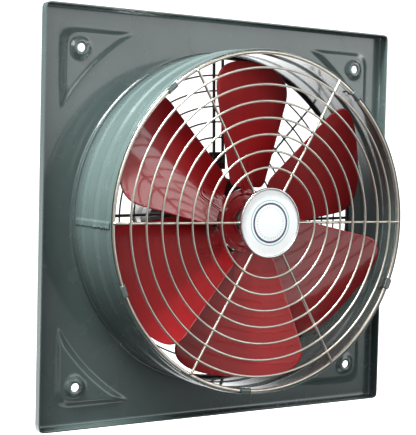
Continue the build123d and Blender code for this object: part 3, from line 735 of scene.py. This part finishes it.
@dataclass
class Barrel:
    """The rolled barrel with its beads, curled front lip, lap seam and the guard's clips."""

    radius: float
    front: float
    back: float
    sheet: float = 1.2 * MM
    beads: tuple[tuple[float, float, float], ...] = (
        (-30.0 * MM, 9.0 * MM, 1.3 * MM),
        (-66.0 * MM, 12.0 * MM, 2.4 * MM),
        (-97.0 * MM, 9.0 * MM, 1.1 * MM),
    )
    seam_angle: float = 180.6
    seam_width: float = 11.0 * MM
    clip_angles: tuple[float, ...] = (51.0, 131.0, 202.0, 263.0, 337.0)

    @classmethod
    def from_frame(cls) -> Barrel:
        """Reads the barrel's sizes from the frame."""
        low, high = from_wall("barrel")
        return cls(BARREL_RADIUS, low.y, high.y)

    def swell(self, y: Array) -> Array:
        """How far the beads push the wall out: each is a raised cosine over its own width."""
        total = np.zeros_like(y)
        for centre, width, height in self.beads:
            t = np.clip((y - centre) / (0.62 * width), -1.0, 1.0)
            total += height * 0.5 * (1.0 + np.cos(np.pi * t))
        return total

    def wall(self) -> Surface:
        """The wall as a closed profile turned round the axis: outside, curled lip, inside and back edge."""
        y_out = np.linspace(self.back - 0.4 * MM, self.front + 0.6 * MM, 92)
        outside = np.stack([self.radius + self.swell(y_out), y_out], axis=-1)
        turn = np.linspace(0.0, np.pi, 7)[1:-1]
        middle, half = self.radius - self.sheet / 2, self.sheet / 2
        lip = np.stack([middle + half * np.cos(turn), self.front + 0.6 * MM - half * np.sin(turn)], axis=-1)
        inside = np.stack([outside[::-1, 0] - self.sheet, outside[::-1, 1]], axis=-1)
        heel_y = self.back - 0.4 * MM + 0.4 * MM * np.sin(turn)
        heel = np.stack([middle - half * np.cos(turn), heel_y], axis=-1)
        return revolved(np.concatenate([outside, lip, inside, heel]), 256)

    def seam(self) -> Surface:
        """The sheet's lapped end: a strip along the barrel with soft sides and a few runs of thick paint.

        Across the strip the height is a rounded step on one side and a long slope on the other. Near the
        front a row of small bell-shaped drops stands out of it.

        Returns:
            The strip, whose edges end inside the wall.
        """
        y = np.linspace(-12.0 * MM, self.front + 1.5 * MM, 130)[:, None]
        across = np.linspace(-1.0, 1.0, 25)[None, :]
        step = smoothstep(across, -1.0, -0.72) * (1.0 - smoothstep(across, 0.2, 1.0))
        height = 1.0 * MM * step - 0.15 * MM
        for index in range(7):
            centre = self.front + (8.0 + 4.6 * index + 1.3 * math.sin(2.3 * index)) * MM
            sideways = -0.55 + 0.12 * math.sin(1.7 * index)
            away = ((y - centre) / (1.1 * MM)) ** 2 + ((across - sideways) / 0.17) ** 2
            height = height + (0.75 + 0.2 * math.sin(3.1 * index)) * MM * np.exp(-away)
        radius = self.radius + self.swell(y) + height
        angle = math.radians(self.seam_angle) - across * self.seam_width / 2 / self.radius
        points = np.stack(np.broadcast_arrays(radius * np.cos(angle), y, radius * np.sin(angle)), axis=-1)
        return Surface.grid(points)

    def clip(self, angle: float) -> Surface:
        """One clip: a strip that climbs the wall's inside, hooks over the rim wire and ends on the lip.

        Args:
            angle: Where the clip is, in degrees.

        Returns:
            The strip's middle surface, whose ends narrow to a rounded tab.
        """
        inner = self.radius - self.sheet - 0.7 * MM
        corners = np.array((
            (inner, -84.0 * MM), (inner, -94.0 * MM), (inner - 5.0 * MM, -100.0 * MM),
            (inner - 5.0 * MM, -106.2 * MM), (inner - 3.6 * MM, -107.6 * MM),
            (self.radius + 0.4 * MM, -107.6 * MM),
        ))
        path = resampled(corners, 0.9 * MM)
        share = np.linspace(0.0, 1.0, len(path))[:, None]
        taper = np.sqrt(np.clip(1.0 - np.clip((share - 0.9) / 0.1, 0.0, 1.0) ** 2.4 * 0.5, 0.0, 1.0))
        across = np.linspace(-1.0, 1.0, 13)[None, :] * taper * 7.0 * MM
        out, along = outward(angle), around(angle)
        points = path[:, 0][:, None, None] * out + across[..., None] * along
        points[..., 1] = path[:, 1][:, None]
        return Surface.grid(points)

    def build(self) -> None:
        """Makes the barrel, its seam and its clips."""
        placed(self.wall().to_object("barrel_wall"), HOUSING, "housing_paint", Finish.HOUSING, "barrel")
        placed(self.seam().to_object("barrel_seam"), HOUSING, "housing_paint", Finish.HOUSING)
        clips = Surface.joined([self.clip(angle) for angle in self.clip_angles]).to_object("rim_clips", 60.0)
        wall = clips.modifiers.new("wall", "SOLIDIFY")
        wall.thickness, wall.offset = 1.0 * MM, 0.0
        baked(clips)
        placed(clips, HOUSING, "housing_paint", Finish.HOUSING, "guard_clips")


# ---- front guard


@dataclass
class FrontGuard:
    """The plated wire guard with its badge.

    Its rings and spokes are drawn a little thinner than the frame's.
    """

    rim_y: float
    rim_radius: float
    ring_y: float
    ring_radii: tuple[float, ...]
    spoke_y: float
    rim_wire: float = 2.3 * MM
    packed_ring_wire: float = 1.4 * MM
    ring_wire: float = 1.35 * MM
    spoke_wire: float = 1.6 * MM
    badge: float = 42.0 * MM

    @classmethod
    def from_frame(cls) -> FrontGuard:
        """Reads the wires' places from the frame."""
        rim_low, rim_high = from_wall("guard_rim_ring")
        rings = [from_wall(f"guard_ring_{k}") for k in range(1, 8)]
        spoke_low, spoke_high = from_wall("guard_spokes")
        radii = tuple((high.z - low.z) / 2 - cls.packed_ring_wire for low, high in rings)
        middle = (rings[0][0].y + rings[0][1].y) / 2
        spoke_y = (spoke_low.y + spoke_high.y) / 2
        return cls((rim_low.y + rim_high.y) / 2, rim_high.x - cls.rim_wire, middle, radii, spoke_y)

    def spoke(self, angle: float) -> Surface:
        """One spoke: straight from under the badge, then bent back over the rim wire.

        Args:
            angle: Where the spoke is, in degrees.

        Returns:
            The spoke as a tube, its bend a quarter circle.
        """
        out = outward(angle)
        bend = 2.6 * MM
        end = self.rim_radius - 0.2 * MM
        turn = np.linspace(0.0, np.pi / 2, 8)
        straight = np.linspace(24.0 * MM, end - bend, 60)
        reach = np.concatenate([straight, end - bend + bend * np.sin(turn)[1:], [end]])
        depth = np.concatenate([np.zeros_like(straight), bend * (1 - np.cos(turn))[1:], [bend + 1.2 * MM]])
        sag = 0.5 * MM * np.sin(np.pi * np.clip(reach / end, 0, 1)) * math.sin(math.radians(angle * 3 + 20))
        path = reach[:, None] * out
        path[:, 1] = self.spoke_y + depth + 0.3 * sag
        return tube(path, self.spoke_wire, around(angle), 14, closed=False)

    def welds(self) -> Surface:
        """A small flattened nugget at each crossing of a ring and a spoke, as squashed tubes along the ring.
        """
        nuggets = []
        for angle in range(0, 360, 60):
            for radius in self.ring_radii:
                centre = radius * outward(angle)
                centre[1] = (self.ring_y + self.spoke_y) / 2 - 0.15 * MM
                t = np.linspace(-1.0, 1.0, 9)
                path = centre + np.outer(t * 2.4 * MM, around(angle))
                girth = np.sqrt(np.clip(1.03 - t * t, 0.02, 1.0)) * 1.25 * MM
                nuggets.append(tube(path, girth, (0.0, 1.0, 0.0), 8, closed=False))
        return Surface.joined(nuggets)

    def bezel(self) -> Surface:
        """The badge's rim as a rounded ring: a closed oval turned round the axis."""
        turn = np.linspace(0.0, 2 * np.pi, 25)[:-1]
        low, high = from_wall("badge_bezel")
        middle, deep = (low.y + high.y) / 2, (high.y - low.y) / 2
        wide = 1.25 * MM
        power = 0.62
        radius = self.badge - wide + wide * np.sign(np.cos(turn)) * np.abs(np.cos(turn)) ** power
        y = middle + deep * np.sign(np.sin(turn)) * np.abs(np.sin(turn)) ** power
        return revolved(np.stack([radius, y], axis=-1), 128)

    def face(self) -> Surface:
        """The badge's slightly crowned face: y falls off as a parabola from the middle, closed by a flat
        back.
        """
        low, high = from_wall("badge_face")
        edge = self.badge - 2.4 * MM
        reach = np.linspace(0.02 * MM, edge, 26)
        crown = low.y - 0.4 * MM + 0.9 * MM * (reach / edge) ** 2
        front = np.stack([reach, crown], axis=-1)
        back = np.array(((edge, high.y - 0.2 * MM), (0.02 * MM, high.y - 0.2 * MM)))
        return revolved(np.concatenate([front, back]), 96)

    def build(self) -> None:
        """Makes the guard's wires and the badge."""
        rim = tube(ring_path(self.rim_radius, self.rim_y, 288), self.rim_wire, (0, 1, 0), 16, closed=True)
        placed(rim.to_object("guard_rim"), HOUSING, "guard_wire", Finish.WIRE, "guard_rim_ring")
        for number, radius in enumerate(self.ring_radii, 1):
            count = 96 + 24 * number
            ring = tube(ring_path(radius, self.ring_y, count), self.ring_wire, (0, 1, 0), 14, closed=True)
            hoop = ring.to_object(f"guard_hoop_{number}")
            placed(hoop, HOUSING, "guard_wire", Finish.WIRE, f"guard_ring_{number}")
        spokes = Surface.joined([self.spoke(angle) for angle in range(0, 360, 60)])
        placed(spokes.to_object("guard_spoke_wires"), HOUSING, "guard_wire", Finish.WIRE, "guard_spokes")
        placed(self.welds().to_object("guard_welds"), HOUSING, "guard_wire", Finish.WIRE)
        placed(self.bezel().to_object("badge_rim"), HOUSING, "badge_chrome", Finish.BEZEL, "badge_bezel")
        placed(self.face().to_object("badge_print"), HOUSING, "badge_plastic", Finish.FACE, "badge_face")


# ---- rear guard


@dataclass
class RearGuard:
    """The black rear guard: rim, rings, thin diagonals and the four hairpin arms that carry the motor."""

    turn: float = 1.6
    arm_y: float = 7.2 * MM
    arm_wire: float = 2.0 * MM
    arm_half_gap: float = 6.5 * MM
    bend_at: float = 74.0 * MM
    ring_wire: float = 1.05 * MM
    packed_ring_wire: float = 1.0 * MM
    rings: int = 6
    sunk: float = 1.2 * MM
    diagonal_from: float = 82.0 * MM
    diagonal_wire: float = 1.5 * MM

    def hairpin(self, angle: float) -> Surface:
        """One arm: in along the radius, round a half circle and out again.

        Args:
            angle: The arm's direction, in degrees.

        Returns:
            The arm as a tube.
        """
        _, high = from_wall("rear_rim_ring")
        end = high.x - self.sunk
        out, along = outward(angle), around(angle)
        run = np.linspace(end, self.bend_at, 40)
        turn = np.linspace(0.0, np.pi, 17)[1:-1]
        reach = np.concatenate([run, self.bend_at - self.arm_half_gap * np.sin(turn), run[::-1]])
        aside = np.concatenate([
            np.full(40, self.arm_half_gap), self.arm_half_gap * np.cos(turn), np.full(40, -self.arm_half_gap)
        ])
        path = np.outer(reach, out) + np.outer(aside, along)
        path[:, 1] = self.arm_y
        return tube(path, self.arm_wire, (0.0, 1.0, 0.0), 14, closed=False)

    def diagonal(self, angle: float) -> Surface:
        """One thin spoke from the first ring to the rim, as a straight tube."""
        _, high = from_wall("rear_rim_ring")
        path = np.outer(np.linspace(self.diagonal_from, high.x - self.sunk, 30), outward(angle))
        path[:, 1] = self.arm_y - 0.5 * MM
        return tube(path, self.diagonal_wire, around(angle), 12, closed=False)

    def build(self) -> None:
        """Makes the guard's wires."""
        low, high = from_wall("rear_rim_ring")
        wire = (high.y - low.y) / 2
        rim = tube(ring_path(high.x - wire, (low.y + high.y) / 2, 256), wire, (0, 1, 0), 12, closed=True)
        placed(rim.to_object("rear_rim"), HOUSING, "rear_guard_paint", Finish.REAR, "rear_rim_ring")
        low, high = from_wall("rear_rings")
        outer, middle = high.x - self.packed_ring_wire, (low.y + high.y) / 2
        hoops = [
            tube(ring_path(outer - k * RING_PITCH, middle, 150), self.ring_wire, (0, 1, 0), 10, closed=True)
            for k in range(self.rings)
        ]
        rings = Surface.joined(hoops).to_object("rear_hoops")
        placed(rings, HOUSING, "rear_guard_paint", Finish.REAR, "rear_rings")
        diagonals = Surface.joined([self.diagonal(45 + 90 * k + self.turn) for k in range(4)])
        placed(diagonals.to_object("rear_diagonals"), HOUSING, "rear_guard_paint", Finish.REAR, "rear_spokes")
        for quarter, side in enumerate(("right", "top", "left", "bottom")):
            arm = self.hairpin(90.0 * quarter + self.turn).to_object(f"arm_rod_{side}")
            placed(arm, HOUSING, "rear_guard_paint", Finish.REAR, f"motor_arm_{side}")


# ---- impeller


@dataclass
class Impeller:
    """The six pressed blades and their rivets, on the frame's own spider and hub."""

    turn: float = -1.5
    pitch: float = 24.6
    middle_y: float = -56.0 * MM
    root: float = 41.0 * MM
    root_corner: float = 9.0 * MM
    tip: float = 194.0 * MM
    edge_start: float = 20.5 * MM
    edge_slope: float = 0.38
    round_from: float = 146.0 * MM
    tip_power: float = 2.35
    sheet: float = 1.2 * MM
    fold: float = 4.0 * MM
    fold_at: float = 95.0 * MM
    crease_rear: float = -14.0 * MM
    crease_front: float = 20.0 * MM
    rivets: tuple[tuple[float, float], ...] = ((50.0, 4.5), (50.0, -4.5), (69.0, 0.0))

    def half_width(self, reach: Array) -> Array:
        """Half the chord at a distance along the blade.

        It widens in a straight line. Past round_from it is multiplied by a superellipse that is 1 there
        and 0 at the tip. The root's two corners are rounded as quarter circles over root_corner.

        Args:
            reach: Distance from the axis, in metres.

        Returns:
            The half width, in metres.
        """
        straight = self.edge_start + self.edge_slope * reach
        t = np.clip((reach - self.round_from) / (self.tip - self.round_from), 0.0, 1.0)
        tip = (1.0 - t**self.tip_power) ** (1.0 / self.tip_power)
        r = np.clip((self.root + self.root_corner - reach) / self.root_corner, 0.0, 1.0)
        return straight * tip - self.root_corner * (1.0 - np.sqrt(np.clip(1.0 - r * r, 0.0, 1.0)))

    def lift(self, across: Array) -> Array:
        """How far the sheet stands forward of its middle strip: two soft folds, each a ramp from its crease.
        """
        front = soft_ramp(across - self.crease_front, 1.6 * MM) / (self.fold_at - self.crease_front)
        rear = soft_ramp(self.crease_rear - across, 1.6 * MM) / (self.fold_at + self.crease_rear)
        return self.fold * (front + rear)

    def angles(self) -> list[float]:
        """Each blade's direction in degrees, clockwise from the top one."""
        return [90.0 + self.turn - 60.0 * number for number in range(6)]

    def axes(self, angle: float) -> tuple[Array, Array, Array]:
        """A blade's directions: out along it, across its chord to the front edge, and out of its face."""
        out, along = outward(angle), around(angle)
        forward = np.array((0.0, -1.0, 0.0))
        p = math.radians(self.pitch)
        across = math.cos(p) * along + math.sin(p) * forward
        return out, across, math.cos(p) * forward - math.sin(p) * along

    def blade(self, angle: float) -> Surface:
        """One blade's front face on a grid of distance along it and share across its chord.

        Args:
            angle: The blade's direction, in degrees.

        Returns:
            The sheet's front surface.
        """
        reach = np.concatenate([
            self.root + self.root_corner * (1 - np.cos(np.linspace(0, np.pi / 2, 9, endpoint=False))),
            np.linspace(self.root + self.root_corner, self.round_from, 26, endpoint=False),
            self.round_from + (self.tip - self.round_from) * np.sin(np.linspace(0, np.pi / 2, 30)),
        ])[:, None]
        share = np.linspace(-1.0, 1.0, 65)[None, :]
        across = share * np.maximum(self.half_width(reach), 0.02 * MM)
        out, chord, face = self.axes(angle)
        origin = np.array((0.0, self.middle_y, 0.0))
        flat = origin + reach[..., None] * out + across[..., None] * chord
        return Surface.grid(flat + self.lift(across)[..., None] * face)

    def rivet(self, angle: float, reach: float, aside: float) -> Surface:
        """A domed rivet head on the arm's front: a dome y = h * sqrt(1 - r * r) as rings of points."""
        out, chord, face = self.axes(angle)
        centre = np.array((0.0, self.middle_y, 0.0)) + reach * out + aside * chord + 1.9 * MM * face
        rise = np.linspace(0.0, np.pi / 2, 7)
        spin = np.linspace(0.0, 2 * np.pi, 20, endpoint=False)
        girth = 3.5 * MM * np.maximum(np.cos(rise), 0.01)
        ring = np.cos(spin)[:, None] * out + np.sin(spin)[:, None] * chord
        points = centre + girth[:, None, None] * ring + (1.5 * MM * np.sin(rise))[:, None, None] * face
        return Surface.grid(points, wrap_columns=True)

    def build(self) -> None:
        """Makes the blades and rivet heads."""
        for number, angle in enumerate(self.angles(), 1):
            piece = self.blade(angle).to_object(f"fan_blade_{number}", 70.0)
            wall = piece.modifiers.new("wall", "SOLIDIFY")
            wall.thickness, wall.offset = self.sheet, -1.0
            baked(piece)
            placed(piece, IMPELLER, "impeller_paint", Finish.IMPELLER, f"blade_{number}")
        heads = [
            self.rivet(angle, reach * MM, aside * MM)
            for angle in self.angles()
            for reach, aside in self.rivets
        ]
        piece = Surface.joined(heads).to_object("blade_rivet_heads")
        placed(piece, IMPELLER, "impeller_paint", Finish.IMPELLER)


# ---- parts that keep their frame shape


KEPT: dict[Finish, tuple[str, ...]] = {
    Finish.IMPELLER: ("spider", "blade_rivets", "hub_rivets"),
    Finish.IRON: ("hub",),
    Finish.STEEL: (
        "motor_shaft", "bearing_inner_rings", "bearing_outer_rings", "bearing_balls", "badge_plate",
    ),
    Finish.LAMINATIONS: ("stator_core", "rotor_core"),
    Finish.CAST_ALUMINIUM: ("rotor_end_rings",),
    Finish.COPPER: ("stator_winding",),
    Finish.REAR: ("arm_brackets",),
    Finish.RUBBER: ("arm_bushes",),
    Finish.ZINC: (
        "arm_bolts", "arm_washers", "arm_nuts", "tie_bolts", "tie_nuts", "lid_screws", "set_screw",
        "capacitor_strap",
    ),
    Finish.MOTOR: ("motor_shell", "front_end_shield", "rear_end_shield"),
    Finish.PLASTIC: ("terminal_box", "terminal_lid", "cable_gland", "capacitor"),
}


def dress_kept(nodes: dict[str, bpy.types.Object]) -> None:
    """Gives each frame part that still shows its finish."""
    for finish, names in KEPT.items():
        finish.dress(*(nodes[name] for name in names))
        LOG.info("dressed %s in %s", ", ".join(names), finish.value.name)


# ---- studio


@dataclass(frozen=True)
class Lobe:
    """A bright region of the studio's air: its middle, the cosines where it fades out and is full, its
    strength.
    """

    towards: tuple[float, float, float]
    fades_at: float
    full_at: float
    strength: float


@dataclass(frozen=True)
class Softbox:
    """A rectangular light: where it hangs, its width and height in metres, and how bright its face is."""

    name: str
    at: tuple[float, float, float]
    size: tuple[float, float]
    brightness: float

    @property
    def watts(self) -> float:
        """Power for that brightness: a flat lamp's brightness is its power over pi times its area."""
        return self.brightness * math.pi * self.size[0] * self.size[1]


@dataclass
class Studio:
    """The pale floor and backdrop, the soft lights and the camera."""

    floor_z: float = -0.62
    lens: float = 91.85
    sensor: float = 36.0
    eye: tuple[float, float, float] = (-0.73345, -1.20480, 0.06694)
    yaw: float = -0.5328
    pitch: float = -0.0472
    roll: float = -0.0246
    air: float = 0.09
    lobes: tuple[Lobe, ...] = (
        Lobe((0.6, -0.8, 0.24), 0.885, 0.99, 2.4),
        Lobe((0.3, 0.8, -0.4), 0.60, 0.90, 2.2),
        Lobe((0.0, 0.1, 1.0), 0.50, 0.90, 0.4),
    )
    lamps: tuple[Softbox, ...] = (
        Softbox("key_upper_left", (-1.7, -2.0, 1.5), (1.5, 1.5), 5.6),
        Softbox("graze_top_left", (-1.2, -0.16, 2.2), (0.9, 1.4), 98.0),
        Softbox("front_fill", (-0.9, -2.6, -0.2), (1.6, 1.4), 0.5),
        Softbox("low_front", (0.5, -1.62, -1.55), (1.0, 0.8), 1.4),
        Softbox("high_right", (1.88, -0.95, 1.1), (0.6, 0.6), 3.8),
    )

    def backdrop(self) -> None:
        """A white bowl: a flat floor that curves up into a wall all the way round the fan."""
        turn = np.linspace(0.0, np.pi / 2, 12)
        radius = np.concatenate([[0.01], 4.5 + 1.5 * np.sin(turn)])[:, None]
        z = self.floor_z + np.concatenate([[0.0], 1.5 * (1 - np.cos(turn))])[:, None]
        radius, z = np.append(radius, [[6.0]], axis=0), np.append(z, [[7.0]], axis=0)
        angle = np.linspace(0.0, 2 * np.pi, 96, endpoint=False)
        points = np.stack(np.broadcast_arrays(radius * np.cos(angle), radius * np.sin(angle), z), axis=-1)
        piece = Surface.grid(points, wrap_columns=True).to_object("studio_sheet", 180.0)
        g = Graph.of_material("studio_white")
        g.set(Base_Color=(0.5, 0.5, 0.5, 1.0), Roughness=0.9)
        g.set(Emission_Color=(1.0, 1.0, 1.0, 1.0), Emission_Strength=1.0)
        piece.data.materials.append(g.owner)
        piece.visible_glossy = False
        piece.visible_diffuse = False
        piece.visible_transmission = False
        piece.visible_shadow = False

    def lamp(self, box: Softbox) -> None:
        """Hangs one softbox, facing the fan's middle."""
        data = bpy.data.lights.new(box.name, "AREA")
        data.shape, data.size, data.size_y, data.energy = "RECTANGLE", box.size[0], box.size[1], box.watts
        light = bpy.data.objects.new(box.name, data)
        light.location = box.at
        aim = Vector((0.0, -0.05, 0.0)) - Vector(box.at)
        light.rotation_euler = aim.to_track_quat("-Z", "Y").to_euler()
        light.visible_camera = False
        bpy.context.scene.collection.objects.link(light)

    def sky(self) -> None:
        """Dim air with a few soft bright regions: each fades in as a direction nears the region's middle."""
        world = bpy.data.worlds.new("studio_air")
        g = Graph(world, "Background", "Generated")
        glow: Wire | float = self.air
        for lobe in self.lobes:
            middle = Vector(lobe.towards).normalized()
            pair = {0: g.place, 1: tuple(middle)}
            near = g.node("ShaderNodeVectorMath", {"operation": "DOT_PRODUCT"}, pair, "Value")
            glow = near.step(lobe.fades_at, lobe.full_at) * lobe.strength + glow
        g.set(Color=(0.97, 0.99, 1.0, 1.0), Strength=glow)
        bpy.context.scene.world = world

    def camera(self) -> None:
        """Places the camera: turned by yaw about Z, then pitch about X, then roll about the line of sight."""
        data = bpy.data.cameras.new("camera")
        data.lens, data.sensor_width, data.sensor_fit = self.lens, self.sensor, "AUTO"
        data.clip_start, data.clip_end = 0.01, 60.0
        camera = bpy.data.objects.new("camera", data)
        bpy.context.scene.collection.objects.link(camera)
        aimed = Matrix.Rotation(self.yaw, 3, "Z") @ Matrix.Rotation(self.pitch, 3, "X")
        look = aimed @ Matrix.Rotation(self.roll, 3, "Y")
        stand = look @ Matrix.Rotation(math.pi / 2, 3, "X")
        camera.matrix_world = Matrix.Translation(self.eye) @ stand.to_4x4()
        bpy.context.scene.camera = camera

    def build(self) -> None:
        """Sets up the whole studio."""
        self.backdrop()
        self.sky()
        for box in self.lamps:
            self.lamp(box)
        bpy.context.scene.view_settings.view_transform = "Standard"
        self.camera()


def main(frame: dict[str, object]) -> None:
    """Builds the fan and its studio, in order.
    """
    logging.basicConfig(level=logging.INFO, format="%(message)s")
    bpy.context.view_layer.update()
    MountingPlate.from_frame().build()
    Barrel.from_frame().build()
    FrontGuard.from_frame().build()
    RearGuard().build()
    Impeller().build()
    dress_kept(frame["nodes"])
    Studio().build()


if __name__ == "__main__":
    main(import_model())
